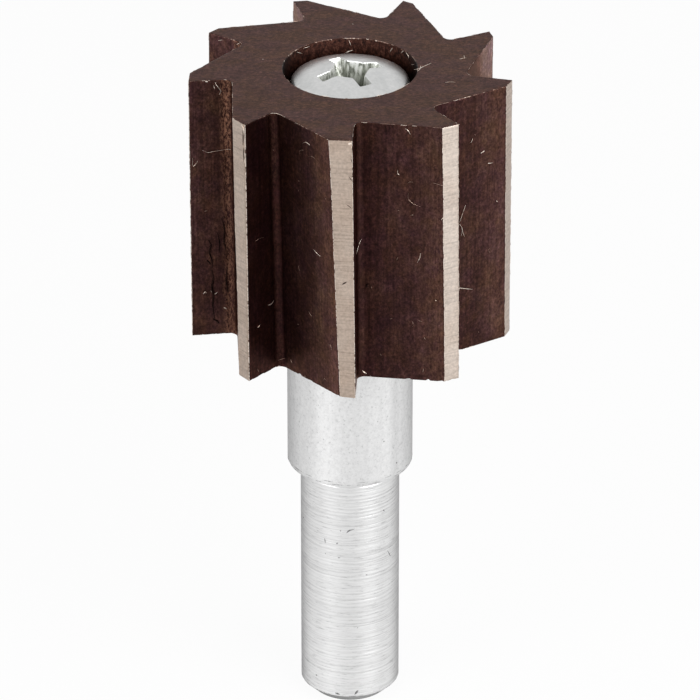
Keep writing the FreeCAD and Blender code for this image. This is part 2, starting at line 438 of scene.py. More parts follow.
# Thin dull hairs, in the same way
DULL_CHIPS = (
    (4, 0.012, 1.81, 54.2, 1.89, 54.13), (4, 0.015, 1.15, 44.98, 1.39, 45),
    (5, 0.019, 5.91, 53.83, 6.02, 54.2, 6.41, 54.35), (5, 0.015, 6.94, 54, 7.36, 54.2, 7.71, 54.13),
    (5, 0.015, 2.97, 53.23, 3.04, 53.15), (5, 0.015, 5.71, 51.43, 5.8, 51.35),
    (5, 0.015, 5.73, 50.6, 5.73, 50.45), (5, 0.019, 8.93, 51.13, 8.93, 51),
    (5, 0.015, 0.97, 45.95, 1.35, 46.07, 1.89, 45.95), (5, 0.012, 5.62, 43.85, 5.72, 43.4),
    (5, 0.012, 6.73, 40.15, 7.15, 39.9), (5, 0.019, 5.43, 38.53, 5.49, 38.45),
    (5, 0.022, 8.96, 38.08, 9.3, 38.2, 9.42, 37.75), (5, 0.019, 3.25, 34.5, 3.89, 34.75),
    (5, 0.022, 4.55, 34.9, 4.71, 34.63), (5, 0.019, 0.97, 34.65, 1.09, 34.33),
    (5, 0.019, 6.08, 34.05, 6.33, 34.1), (5, 0.015, 8.4, 34.63, 8.52, 34.85, 8.71, 34.7),
    (6, 0.017, 7.11, 51.38, 7.29, 51.5, 7.53, 51.5), (6, 0.017, 9.1, 51.55, 9.46, 51.48, 9.88, 51.35),
    (6, 0.015, 7.17, 50.5, 7.17, 50.08, 7.48, 49.7, 8.09, 49.38), (6, 0.015, 6.39, 48.95, 6.45, 48.9),
    (6, 0.015, 7.36, 48.58, 7.61, 48.65), (6, 0.015, 6.29, 44.53, 6.41, 44.83),
    (6, 0.014, 7.6, 39.13, 7.74, 38.83, 7.6, 38.68), (6, 0.012, 8.03, 39.28, 8.39, 39.2),
    (6, 0.019, 8.58, 37.78, 8.65, 37.6), (6, 0.02, 8.54, 35, 8.48, 34.63),
    (6, 0.015, 5.11, 36.05, 5.17, 35.9), (6, 0.025, 4.33, 42, 4.38, 41.9),
    (6, 0.012, 5.83, 39.25, 6.01, 39.28), (7, 0.012, 7.4, 52.93, 7.46, 52.85),
    (7, 0.014, 8.99, 42.43, 8.81, 42.25, 9, 41.98), (7, 0.015, 8, 35.15, 8.06, 35),
    (7, 0.015, 6.7, 47.08, 6.77, 47), (8, 0.012, 8.8, 56.1, 8.9, 55.5), (8, 0.012, 8.6, 55.48, 8.75, 54.9),
)
# Dark scratches and stains on the sides, in the same way
SIDE_MARKS = (
    (5, 0.05, 10.45, 43.93, 10.78, 44.15),
    (4, 0.07, 1.45, 42.4, 1.62, 41.9, 1.5, 41.3, 1.68, 40.6, 1.72, 39.9),
    (4, 0.09, 1.66, 39.7, 1.8, 38.9, 1.66, 38.2, 1.78, 37.4, 1.7, 36.5, 1.84, 35.3),
    (4, 0.06, 2.5, 44.3, 2.72, 43.3, 2.66, 42.2, 2.84, 41.3), (4, 0.06, 2.9, 39.9, 2.82, 38.7, 2.93, 37.6),
    (4, 0.055, 2.15, 43, 2.3, 42.2, 2.26, 41.2), (4, 0.07, 1.7, 35.3, 2, 35.12, 2.2, 34.9),
    (4, 0.055, 1.3, 40.6, 1.6, 40.2), (6, 0.12, 3.93, 42.2, 4.05, 42),
)
# Chips on the top face: thickness, then x and y, point by point
TOP_CHIPS = (
    (0.03, 5.02, -0.34, 5.42, -0.1, 5.89, 0.37, 6.37, 0.83), (0.025, 5.3, -0.58, 5.5, -0.1, 5.54, 0.39),
    (0.035, 8.58, 1.53, 8.9, 1.7, 9.14, 1.75), (0.02, 8.96, 2.2, 9.01, 1.6),
    (0.025, 7.43, -2.55, 7.82, -2.45, 8.21, -2.52), (0.03, 0.19, 7.81, 0.27, 7.78),
    (0.03, -6.89, 1.55, -6.81, 1.5), (0.025, -10.39, 4.84, -10.08, 4.95), (0.025, -8.95, 4.12, -8.72, 4.4),
)
# Chips on the counterbore's wall: thickness, then degrees and height, point by point
WALL_CHIPS = (
    (0.035, 50.5, 56.12, 52, 55.84, 53.2, 55.58), (0.035, 93.8, 55.13, 91, 55.25, 87.5, 55.35),
    (0.022, 91, 56.16, 89.8, 55.96, 89.2, 55.72), (0.03, 37, 56.3, 40, 56),
    (0.03, 33.5, 56.3, 29, 56.25, 28, 56), (0.022, 24.5, 55.64, 17.2, 55.9), (0.022, 142.8, 56.2, 135, 55.8),
    (0.02, 133.8, 56.24, 127, 56.22),
)
# Burrs on the lands and dark strips as material number 2, those on tooth 5 a painted shadow beside its rolled
# burr: tooth, thickness, material number, then distance behind the edge and height
LAND_BURRS_AND_PAINTED_SHADOWS = (
    (6, 0.11, 0, 0.02, 56.3, 0.16, 56.28, 0.3, 56.26), (6, 0.05, 0, 0.05, 56.1, 0.04, 55.95),
    (6, 0.03, 2, 0.1, 55, 0.02, 54.7), (6, 0.03, 2, 0.25, 53.4, 0.05, 53.1),
    (6, 0.025, 2, 0.5, 51, 0.1, 50.7), (5, 0.035, 0, 0.42, 56.34, 0.2, 56.2, 0.02, 56.05),
    (5, 0.03, 0, -0.02, 56.33, 0.06, 56.1, 0.02, 55.6), (5, 0.02, 0, 0, 55.5, 0.02, 54.9, -0.01, 54.3),
    (5, 0.018, 0, 0.02, 54.2, 0, 53.7), (5, 0.025, 0, 0.02, 53.5, 0, 53.1),
    (5, 0.045, 2, 0.17, 55.9, 0.16, 55.2, 0.2, 54.6), (5, 0.035, 2, 0.15, 54.4, 0.13, 53.8, 0.12, 53.2),
    (7, 0.025, 0, 0.03, 56.3, -0.02, 56.45),
)
HIDDEN_CHIPS = 46
HIDDEN_BRIGHT_CHIPS = 12
# How free of burrs the end edges of each pitch are
EDGE_CLEANNESS = (0, 0, 0, 0.35, 0, 0, 0, -0.06, 0)
TUBE_SIDES = 6
CURVE_STEPS = 4


class Gathered:
    """Points, faces and material numbers of many small closed tubes."""

    def __init__(self):
        self.points = []
        self.faces = []
        self.numbers = []

    def add_tube(self, path, radii, number=0):
        """A closed tube through the path's points, with one radius for each."""
        faces = ring_faces(len(path), TUBE_SIDES)
        self.faces += [tuple(len(self.points) + corner for corner in face) for face in faces]
        self.numbers += [number] * len(faces)
        tangents = np.gradient(np.array(path, float), axis=0)
        for place, tangent, radius in zip(path, tangents, radii):
            tangent = unit(tangent)
            guide = (0, 0, 1.0) if abs(tangent[2]) < 0.9 else (1.0, 0, 0)
            side = unit(np.cross(tangent, guide))
            over = np.cross(side, tangent)
            for across, up in circle(radius, TUBE_SIDES):
                self.points.append(place + side * across - over * up)

    def add_chip(self, numbers, place, thickness, lift=0.0, number=0):
        """A chip through flat points, which place() puts on its surface, thin at both ends."""
        flat = through(numbers)
        path = []
        radii = []
        for step, (u, v) in enumerate(flat):
            rise = lift * sin(pi * step / (len(flat) - 1))
            path.append(place(u, v, thickness * 0.5 + rise))
            radii.append(thickness * (0.25 + 0.75 * sin(pi * (step + 0.5) / len(flat))))
        self.add_tube(path, radii, number)

    def add_burrs(self, points, seed, amount, cover):
        """Runs of burr along an edge, some bright and some dull."""
        for run in ragged_runs(len(points), seed, amount, cover):
            path = []
            for step, _ in run:
                shake = [wave(step * 0.7, seed, axis) for axis in (0.5, 1.5, 2.5)]
                path.append(points[step] + np.array(shake) * amount * 0.8)
            number = 0 if wave(run[0][0] * 0.37, seed, 3.6) > 0.1 else 1
            self.add_tube(path, [radius for _, radius in run], number)

    def piece(self, name, node, materials):
        """All the tubes as one object, kept inside a node's own box."""
        points = np.clip(np.array(self.points), *node_box(node))
        made = new_object(name, points, self.faces)
        made.data.polygons.foreach_set("material_index", self.numbers)
        finish_piece(made, None, materials, 60.0)


def ragged_runs(count, seed, amount, cover):
    """Runs of burr along an edge of so many points, with a radius for each point."""
    runs = [[]]
    for step in range(count):
        level = wave(step * 0.13, seed, 2.2) + 0.6 * wave(step * 0.6, seed, 7.7)
        if level > cover:
            runs[-1].append((step, amount * min(1.0, 0.35 + level)))
        else:
            runs.append([])
    return [run for run in runs if len(run) > 2]


def through(numbers):
    """A smooth line through flat points, given as their numbers two by two."""
    points = list(np.reshape(numbers, (-1, 2)))
    if len(points) == 2:
        points.insert(1, (points[0] + points[1]) / 2)
    padded = [2 * points[0] - points[1]] + points + [2 * points[-1] - points[-2]]
    smooth = []
    for before, here, after, later in zip(padded, padded[1:], padded[2:], padded[3:]):
        for t in np.arange(CURVE_STEPS) / CURVE_STEPS:
            smooth.append(0.5 * (2 * here + (after - before) * t
                                 + (2 * before - 5 * here + 4 * after - later) * t ** 2
                                 + (3 * here - before - 3 * after + later) * t ** 3))
    return smooth + points[-1:]


def side_place(pitch, along, z, lift):
    """The point at a distance along one pitch's outline, lifted off the surface."""
    points = pitch_outline(pitch, z)
    steps = norm(np.diff(points, axis=0), axis=1)
    distance = np.concatenate([[0], np.cumsum(steps)])
    number = int(np.clip(np.searchsorted(distance, along) - 1, 0, len(steps) - 1))
    way = (points[number + 1] - points[number]) / steps[number]
    place = points[number] + way * (along - distance[number]) + np.array([way[1], -way[0]]) * lift
    return np.array([*place, z])


def land_place(tooth, width, z, lift):
    """A point over one tooth's land, at a distance behind its cutting edge."""
    place = TIP_RADIUS * polar(0) + width * polar(LAND_WAY) + lift * polar(-RELIEF_ANGLE)
    return np.array([*turned_by(place, edge_angle(tooth, z)), z])


def wall_place(radius, sign, degrees, z, lift):
    """A point on a wall at a radius, lifted outwards or inwards."""
    return np.array([*(radius + sign * lift) * polar(radians(degrees)), z])


def top_place(x, y, lift):
    return np.array([x, y, TOP_FACE + lift])


on_counterbore = partial(wall_place, COUNTERBORE_RADIUS, -1)


def random_chip(rng):
    """A curl, hair or grain somewhere on a side that the photograph doesn't show."""
    pitch = rng.choice((0, 1, 2, 3, 8))
    along = rng.uniform(0.6, 9.2)
    z = rng.uniform(CUTTER_LOW + 0.6, CUTTER_HIGH - 0.6)
    length = rng.choice((0.12, 0.15, 0.4, 0.6, 1.0))
    angle = rng.uniform(0, pi)
    bend = rng.uniform(-0.5, 0.5)
    where = []
    for part in (0, 0.5, 1):
        turn = angle + bend * part
        where += [along + part * length * cos(turn) * 0.6, z + part * length * sin(turn) * 0.5]
    return pitch, rng.uniform(0.013, 0.024), *where


def make_swarf(materials):
    """Fine chips that cling to the cutter head, a few dark marks, and a painted shadow strip beside a land
    burr. Numbers: 0 bright, 1 dull, 2 dark.
    """
    rng = random.Random(4)
    gathered = Gathered()
    hidden = [random_chip(rng) for _ in range(HIDDEN_CHIPS)]
    hidden_bright, hidden_dull = hidden[:HIDDEN_BRIGHT_CHIPS], hidden[HIDDEN_BRIGHT_CHIPS:]
    for chips, number, bend in ((BRIGHT_CHIPS, 0, 0.05), (DULL_CHIPS, 1, 0.05), (hidden_bright, 0, 0.05),
                                (hidden_dull, 1, 0.05), (SIDE_MARKS, 2, 0.0)):
        for pitch, thickness, *where in chips:
            lift = bend * dist(where[:2], where[-2:])
            gathered.add_chip(where, partial(side_place, pitch), thickness, lift, number)
    for thickness, *where in TOP_CHIPS:
        gathered.add_chip(where, top_place, thickness)
    for thickness, *where in WALL_CHIPS:
        gathered.add_chip(where, on_counterbore, thickness, 0.05)
    # Land burrs; the dark ones with number 2 on tooth 5 are a painted shadow beside the burr
    for tooth, thickness, number, *where in LAND_BURRS_AND_PAINTED_SHADOWS:
        gathered.add_chip(where, partial(land_place, tooth), thickness, 0.0, number)
    gathered.piece("swarf", "cutter_head", materials)


def make_burrs(materials):
    """Fine broken burrs round both end faces, up the lands and round the counterbore."""
    gathered = Gathered()
    for pitch in range(TOOTH_COUNT):
        for z, seed, cover in ((TOP_FACE, 10.0, 0.0), (CUTTER_LOW + 0.03, 40.0, 0.15)):
            points = [side_place(pitch, along, z, -0.02) for along in np.arange(0.2, 9.6, 0.09)]
            gathered.add_burrs(points, seed + pitch * 1.7, 0.019, cover + EDGE_CLEANNESS[pitch])
        for seed, at_edge in ((70.0, True), (90.0, False)):
            points = [land_place(pitch, 0 if at_edge else land_width(pitch, z), z, 0)
                      for z in np.arange(CUTTER_LOW + 0.1, CUTTER_HIGH - 0.05, 0.1)]
            gathered.add_burrs(points, seed + pitch * 2.3, 0.015, 0.05)
    rim = [on_counterbore(degrees, TOP_FACE, -0.02) for degrees in range(360)]
    gathered.add_burrs(rim, 130.0, 0.02, 0.05)
    gathered.piece("edge_burrs", "cutter_head", materials)


# Arbor

# A ring so near to the axis that it closes an end
AXIS = 0.001
ARBOR_COLUMNS = 144
GROOVE_DEPTH = 0.012
GROOVE_STEP = 0.062
# Heights where the tool dug in deeper
DEEP_GROOVES = (20.98, 20.82, 20.66, 20.34, 19.96, 18.46, 18.14, 17.9, 16.1, 13.9, 10.04, 7.0, 3.1)
# Nicks on the shank and collar: thickness, then degrees and height, point by point
SHANK_NICKS = (
    (0.06, -101.3, 16.7, -100.7, 16.55), (0.076, -95, 16.38, -90.5, 16.68, -83.5, 16.84),
    (0.102, -105.8, 15.46, -104.5, 15.32), (0.06, -121, 15.68, -119.8, 15.14),
    (0.051, -119.9, 14.25, -119.6, 14.15), (0.06, -104.5, 14.06, -101, 14.08),
    (0.051, -71.5, 12.4, -69, 12.36), (0.043, -40, 13.94, -34.2, 13.18), (0.051, -81.3, 7.5, -80.7, 7.4),
    (0.06, -135, 2.32, -132, 2.22), (0.102, -85.2, 1, -82.2, 1.28, -80, 1.52),
    (0.085, -108.5, 1.14, -101.2, 1.02), (0.06, -160.8, 16.4, -160.8, 16.25),
    (0.043, -48.5, 18.06, -45.2, 17.78), (0.051, 34, 9.3, 41, 9.1), (0.051, 102, 14.2, 104, 13.8),
    (0.06, 151, 5.2, 154, 5.25),
)
COLLAR_NICKS = (
    (0.085, -57.6, 25.2, -57.2, 25.05), (0.085, -43.2, 22.72, -41, 22.58),
    (0.06, -79.3, 29.62, -79.1, 29.56), (0.051, -64.1, 27.16, -63.9, 27.1),
    (0.051, -120, 28.55, -119.6, 28.5), (0.068, 62, 26, 62.6, 25.9), (0.06, 140, 30.4, 141.5, 30.3),
)
# Painted highlights and shade in soft upright bands, where the lamps' reflections and a darker middle fall,
# as (degrees, tone)
SHANK_PAINTED_LIGHT = ((-180, 1), (-126, 1), (-115, 1.06), (-104, 1), (-93, 0.93), (-84, 0.91), (-74, 0.96),
               (-64, 1), (-50, 0.95), (-40, 1), (40, 0.95), (90, 1), (180, 1))
COLLAR_PAINTED_LIGHT = ((-180, 1), (-126, 0.98), (-117, 1.13), (-108, 1.12), (-99, 1), (-84, 0.87), (-74, 0.84),
                (-60, 0.92), (-53, 0.97), (-46, 0.88), (-38, 1), (30, 1.04), (50, 0.95), (110, 1.03),
                (180, 1))
# Rims broken by dark runs, as (radius, height, seed)
BROKEN_RIMS = (
    (COLLAR_RADIUS, SHANK_LENGTH + COLLAR_EDGE, 160.0),
    (COLLAR_RADIUS, SHANK_LENGTH + 0.42, 170.0),
    (SHANK_RADIUS - 0.01, SHANK_CHAMFER, 180.0),
)


def groove(z, angle):
    """Turning marks on the shank: fine rings of uneven depth that fade in and out."""
    if any(abs(z - height) < GROOVE_STEP / 2 for height in DEEP_GROOVES):
        return -GROOVE_DEPTH * (2.5 if z > SHANK_LENGTH - 0.8 else 1.4)
    coarse = wave(z * 0.8, 2.0, 0.3)
    fine = wave(z * 5.0, cos(angle) * 0.9, 5.0 + sin(angle) * 0.9)
    return -GROOVE_DEPTH * min(1.0, max(0.0, coarse * 0.4 + fine + 0.1))


def make_nicks(materials):
    """Small dark nicks in the shank and collar, and dark runs along their edges."""
    gathered = Gathered()
    for radius, nicks in ((SHANK_RADIUS, SHANK_NICKS), (COLLAR_RADIUS, COLLAR_NICKS)):
        for thickness, *where in nicks:
            gathered.add_chip(where, partial(wall_place, radius - thickness, 1), thickness)
    for radius, z, seed in BROKEN_RIMS:
        for run in ragged_runs(360, seed, 0.02, -0.05):
            path = [wall_place(radius, 1, degrees, z, 0) for degrees, _ in run]
            gathered.add_tube(path, [size for _, size in run])
    gathered.piece("arbor_nicks", "arbor", materials)


def make_arbor(materials):
    """Shank, collar and spigot, with the marks of the turning tool on the shank."""
    shank, collar = SHANK_RADIUS, COLLAR_RADIUS
    profile = [(AXIS, 0), (shank - SHANK_CHAMFER - 0.02, 0), (shank - SHANK_CHAMFER, 0.01)]
    for part in (0.95, 0.5, 0.08, 0.03):
        profile.append((shank - SHANK_CHAMFER * part, SHANK_CHAMFER * (1 - part)))
    profile += [(shank, z) for z in np.arange(SHANK_CHAMFER + 0.03, SHANK_LENGTH - 0.02, GROOVE_STEP)]
    profile += [(shank, SHANK_LENGTH), (collar - COLLAR_EDGE, SHANK_LENGTH),
                (collar - COLLAR_EDGE * 0.3, SHANK_LENGTH + COLLAR_EDGE * 0.3)]
    profile += [(collar, z) for z in (SHANK_LENGTH + COLLAR_EDGE,
                                      *np.linspace(SHANK_LENGTH + 0.5, CUTTER_LOW - 0.1, 14), CUTTER_LOW)]
    profile += [(SPIGOT_RADIUS, CUTTER_LOW), (SPIGOT_RADIUS, SPIGOT_HIGH - SPIGOT_CHAMFER),
                (SPIGOT_RADIUS - SPIGOT_CHAMFER, SPIGOT_HIGH), (HOLE_RADIUS, SPIGOT_HIGH),
                (HOLE_RADIUS, HOLE_FLOOR), (AXIS, HOLE_FLOOR - HOLE_POINT)]
    angles = around(ARBOR_COLUMNS)
    degrees = (np.degrees(angles) + 180) % 360 - 180
    rows = []
    painted_light_values = []
    for radius, z in profile:
        grooved = SHANK_CHAMFER < z < SHANK_LENGTH
        radii = [radius + (groove(z, angle) if grooved else 0) for angle in angles]
        rows.append((np.array(radii)[:, None] * polar(angles), z))
        # Painted highlights and shade in upright bands, by angle round the axis
        painted_light_values.append(np.interp(degrees, *zip(*(COLLAR_PAINTED_LIGHT if z > SHANK_LENGTH else SHANK_PAINTED_LIGHT))))
    piece = new_object("arbor_body", stacked(rows), ring_faces(len(rows), ARBOR_COLUMNS))
    add_values(piece.data, "tone", np.concatenate(painted_light_values))
    for index in range((len(rows) - 1) * ARBOR_COLUMNS):
        z = profile[index // ARBOR_COLUMNS][1]
        if SHANK_LENGTH < z <= CUTTER_LOW:
            piece.data.polygons[index].material_index = 1
        # The chamfer takes the material darkened by painted shade
        elif 0 < z < SHANK_CHAMFER * 0.9:
            piece.data.polygons[index].material_index = 2
    finish_piece(piece, "arbor", materials, 30.0)


# Clamp screw

SCREW_COLUMNS = 240
MOUTH_ROUND = 0.06


def cross_outline(reach, wing, core):
    """The cross recess's outline, as points evenly spaced along it."""
    corner = sqrt(max(core * core - wing * wing, wing * wing))
    quarter = np.array([(corner, -wing), (reach, -wing), (reach, wing), (corner, wing)])
    path = np.concatenate([turned_by(quarter, number * pi / 2) for number in range(4)])
    rounded = []
    for before, here, after in zip(np.roll(path, 1, 0), path, np.roll(path, -1, 0)):
        rounded += rounding(before, here, after, min(0.09, wing * 0.4), 4)
    closed = np.array(rounded + rounded[:1])
    along = np.concatenate([[0], np.cumsum(norm(np.diff(closed, axis=0), axis=1))])
    where = np.linspace(0, along[-1], SCREW_COLUMNS, endpoint=False)
    ring = np.stack([np.interp(where, along, closed[:, axis]) for axis in (0, 1)], 1)
    return np.roll(ring, -int(np.argmin(np.abs(np.arctan2(ring[:, 1], ring[:, 0])))), 0)


def dome_height(ring):
    """Heights of the domed head over plane points, with its rounded edge."""
    radius = np.hypot(*ring.T)
    centre = HEAD_TOP - DOME_RADIUS
    edge_radius = HEAD_RADIUS - HEAD_ROUND
    edge_centre = centre + sqrt((DOME_RADIUS - HEAD_ROUND) ** 2 - edge_radius ** 2)
    join = edge_radius * DOME_RADIUS / (DOME_RADIUS - HEAD_ROUND)
    dome = centre + np.sqrt(DOME_RADIUS ** 2 - radius ** 2)
    edge = edge_centre + np.sqrt(np.maximum(0.0, HEAD_ROUND ** 2 - (radius - edge_radius) ** 2))
    return np.where(radius <= join, dome, edge)


def thread_ring(z):
    """One ring of the thread, whose radius rises and falls along a helix."""
    turns = np.arange(SCREW_COLUMNS) / SCREW_COLUMNS
    depth = np.clip(1.25 - np.abs((z / THREAD_PITCH - turns) % 1 - 0.5) * 4, 0.0, 1.0)
    fade = min(1.0, max(0.0, (SCREW_SEAT - 1.0 - z) / 0.8))
    at_tip = THREAD_RADIUS - SCREW_TIP_CHAMFER + z - SCREW_LOW
    radii = np.minimum(THREAD_RADIUS - THREAD_DEPTH * depth * fade, at_tip)
    return circle(1.0, SCREW_COLUMNS) * radii[:, None]


def make_screw(materials):
    """The pan head screw: thread, head, dome and cross recess, in rings from the tip inwards."""
    ring = partial(circle, columns=SCREW_COLUMNS)
    side = ring(HEAD_RADIUS)
    round_start = dome_height(side)
    rows = [(ring(0.02 * (THREAD_RADIUS - SCREW_TIP_CHAMFER)), SCREW_LOW)]
    rows += [(thread_ring(z), z) for z in np.arange(SCREW_LOW, SCREW_SEAT - 0.05, 0.1)]
    rows += [(ring(THREAD_RADIUS), SCREW_SEAT), (side, SCREW_SEAT),
             (side, SCREW_SEAT + 0.6 * (round_start - SCREW_SEAT)), (side, round_start)]
    dome_start = ring(HEAD_RADIUS - HEAD_ROUND)
    mouth = cross_outline(*[size + MOUTH_ROUND for size in RECESS_TOP])
    rim = cross_outline(*RECESS_TOP)
    below_mouth = blend(rim, mouth, 0.4)
    floor = cross_outline(*RECESS_FLOOR)
    on_dome = [ring(HEAD_RADIUS - HEAD_ROUND * (1 - cos(angle))) for angle in np.linspace(0.2, 1.45, 9)]
    on_dome += [blend(dome_start, mouth, part) for part in (0.0, 0.2, 0.4, 0.6, 0.8, 0.92, 1.0)]
    rows += [(points, dome_height(points)) for points in on_dome]
    wall_top = dome_height(rim) - 0.07
    rows += [(below_mouth, dome_height(below_mouth) - 0.015), (rim, wall_top)]
    walls = len(rows) - 1
    recess_low = HEAD_TOP - RECESS_DEPTH
    for part in (0.03, 0.1, 0.3, 0.5, 0.75, 0.95, 1.0):
        rows.append((blend(rim, floor, part), blend(wall_top, recess_low, part)))
    rows += [(floor * 0.4, recess_low - 0.2), (floor * 0.01, recess_low - 0.3)]
    points = stacked([(turned_by(points, RECESS_TURN), z) for points, z in rows])
    piece = new_object("clamp_screw_body", points, ring_faces(len(rows), SCREW_COLUMNS))
    for polygon in piece.data.polygons:
        polygon.material_index = int(polygon.index // SCREW_COLUMNS >= walls)
    finish_piece(piece, "clamp_screw", materials, 30.0)


# Materials. Ramps take stops of (position, colour or grey level).

def material(name, metallic=0.0, roughness=0.5):
    """A new material, its node tree and its shader."""
    made = bpy.data.materials.new(name)
    made.use_nodes = True
    shader = made.node_tree.nodes["Principled BSDF"]
    shader.inputs["Metallic"].default_value = metallic
    shader.inputs["Roughness"].default_value = roughness
    return made, made.node_tree, shader


def put(tree, kind, inputs=None, **settings):
    """A node with its settings, whose inputs are values or sockets of other nodes."""
    node = tree.nodes.new("ShaderNode" + kind)
    for name, value in settings.items():
        setattr(node, name, value)
    for name, value in (inputs or {}).items():
        if isinstance(value, bpy.types.NodeSocket):
            tree.links.new(value, node.inputs[name])
        else:
            node.inputs[name].default_value = value
    return node


def maths(tree, operation, *values):
    return put(tree, "Math", dict(enumerate(values)), operation=operation).outputs[0]


def stretched(tree, scale):
    """Coordinates in millimetres, multiplied by a scale along each axis."""
    coords = put(tree, "TexCoord").outputs["Object"]
    factors = [along / MM for along in np.full(3, scale, float)]
    return put(tree, "VectorMath", {0: coords, 1: factors}, operation="MULTIPLY").outputs[0]


def speckle(tree, scale, detail=3.0, roughness=0.6):
    """Noise with about so many spots a millimetre, or so many along each axis."""
    inputs = {"Vector": stretched(tree, scale), "Scale": 1.0, "Detail": detail, "Roughness": roughness}
    return put(tree, "TexNoise", inputs).outputs["Fac"]


def carried(tree, name, share=1.0):
    """A share of a value that the mesh carries."""
    value = put(tree, "Attribute", attribute_name=name).outputs["Fac"]
    return maths(tree, "MULTIPLY", value, share)


def ramp(tree, value, *stops):
    node = put(tree, "ValToRGB", {"Fac": value})
    elements = node.color_ramp.elements
    while len(elements) < len(stops):
        elements.new(0.5)
    for element, (position, colour) in zip(elements, stops):
        element.position = position
        element.color = (*np.full(3, colour, float), 1)
    return node.outputs["Color"]


def mixed(tree, how, factor, first, second):
    """Two colours mixed. The numbers are those of the colour sockets."""
    inputs = {0: factor, 6: first, 7: second}
    return put(tree, "Mix", inputs, data_type="RGBA", blend_type=how).outputs[2]


def layered(tree, base, *layers):
    """A ramp made lighter and darker by more of them, each given as its value and stops."""
    colour = ramp(tree, *base)
    for layer in layers:
        colour = mixed(tree, "MULTIPLY", 1.0, colour, ramp(tree, *layer))
    return colour


def painted(made, colour, height=None, distance=0.0, strength=1.0):
    """The material with its colour, and with a height as its bump."""
    tree = made.node_tree
    shader = tree.nodes["Principled BSDF"]
    tree.links.new(colour, shader.inputs["Base Color"])
    if height:
        inputs = {"Height": height, "Distance": distance * MM, "Strength": strength}
        tree.links.new(put(tree, "Bump", inputs).outputs["Normal"], shader.inputs["Normal"])
    return made


def oxide_sides():
    """Dark brown oxide on the milled sides, streaked along the axis, rubbed lighter where worn, with painted
    light and shade.
    """
    made, tree, shader = material("oxide_sides", 0.9, 0.4)
    shader.inputs["Specular Tint"].default_value = (0.85, 0.66, 0.58, 1)
    streaks = speckle(tree, (5, 5, 0.07), 4, 0.7)
    patches = speckle(tree, (0.5, 0.5, 0.3), 4, 0.65)
    tints = speckle(tree, (0.5, 0.5, 0.4), 5, 0.7)
    grain = speckle(tree, (4.5, 4.5, 3.6), 3, 0.8)
    haze = speckle(tree, (1.5, 1.5, 1.1), 3, 0.7)
    colour = layered(
        tree, (patches, (0.32, (0.038, 0.0165, 0.0145)), (0.5, (0.051, 0.023, 0.0195)),
               (0.68, (0.066, 0.033, 0.0265))),
        (tints, (0.36, (0.94, 0.9, 1.13)), (0.64, (1.1, 1.1, 0.9))),
        (streaks, (0.3, 0.68), (0.5, 1), (0.7, 1.35)),
        (grain, (0.3, 0.5), (0.5, 1.04), (0.7, 2)),
        (haze, (0.36, 0.84), (0.5, 0.98), (0.64, (1.22, 1.25, 1.2))),
        # Painted light and shade that the mesh carries as tone
        (carried(tree, "tone", 0.25), (0.05, (0.2, 0.1, 0.12)), (0.15, (0.6, 0.47, 0.5)), (0.25, 1),
         (0.5, (2, 2.1, 2)), (1, (4.8, 7.2, 8))))
    rubbed = ramp(tree, speckle(tree, (6.5, 6.5, 2.6), 5, 0.85), (0.46, 0), (0.58, 1))
    share = maths(tree, "MULTIPLY", carried(tree, "wear"), rubbed)
    return painted(made, mixed(tree, "MIX", share, colour, (0.28, 0.138, 0.088, 1)), streaks, 0.006, 0.5)


def oxide_top():
    """The faced top: the same oxide, duller, with fine marks and faint blotches."""
    made, tree, _ = material("oxide_top", 0.8, 0.55)
    lines = speckle(tree, (1.2, 7, 1), 3, 0.65)
    patches = speckle(tree, (0.5, 0.7, 0.5), 4, 0.65)
    colour = layered(
        tree, (patches, (0.35, (0.07, 0.031, 0.0215)), (0.65, (0.088, 0.042, 0.03))),
        (speckle(tree, (0.35, 0.6, 0.4)), (0.4, (0.97, 0.93, 1.12)), (0.6, (1.04, 1.02, 0.9))),
        (lines, (0.3, 0.82), (0.7, 1.18)),
        (speckle(tree, (4, 6, 4), 3, 0.8), (0.3, 0.42), (0.5, 1), (0.7, 2)))
    return painted(made, colour, lines, 0.003, 0.5)


def oxide_bore():
    """The counterbore's wall: mottled red-brown, with dark specks, and painted shade that darkens its sides.
    """
    made, tree, _ = material("oxide_bore", 0.7, 0.5)
    blotches = speckle(tree, (4, 4, 3), 4, 0.8)
    colour = layered(
        tree, (blotches, (0.38, (0.01, 0.002, 0.001)), (0.52, (0.06, 0.018, 0.011)),
               (0.68, (0.16, 0.065, 0.045))),
        # Painted shade on the wall's sides, carried as tone
        (carried(tree, "tone"), (0.25, 0.1), (1, 1)))
    return painted(made, colour, blotches, 0.02, 0.5)


def ground_land():
    """Bare steel, ground across the land, with painted light and shade that differs from land to land."""
    made, tree, _ = material("ground_land", 1, 0.42)
    lines = speckle(tree, (0.3, 0.3, 7), 4, 0.7)
    colour = layered(
        tree, (speckle(tree, 0.3), (0.3, (0.57, 0.465, 0.395)), (0.7, (0.63, 0.54, 0.475))),
        # Painted light and shade of each land, carried as tone
        (carried(tree, "tone", 0.5), (0.4, (0.8, 0.755, 0.71)), (0.5, 1), (0.6, (1.16, 1.22, 1.25))),
        (lines, (0.28, 0.68), (0.45, 0.97), (0.65, 1.1)),
        (speckle(tree, 5), (0.3, 0.84), (0.7, 1.14)))
    return painted(made, colour, lines, 0.008, 0.5)


def broken_metal(name, *stops, with_painted_light=False):
    """An edge or burr whose colour changes from place to place between oxide and bare steel, with the mesh's
    painted light and shade if asked.
    """
    made, tree, _ = material(name, 0.9, 0.35)
    breaks = speckle(tree, 2.6, 3, 0.75)
    layers = [(breaks, *stops)]
    if with_painted_light:
        # Painted light and shade that the mesh carries as tone
        layers.append((carried(tree, "tone"), (0.3, 0.12), (0.9, 1)))
    return painted(made, layered(tree, *layers), breaks, 0.01, 0.4)


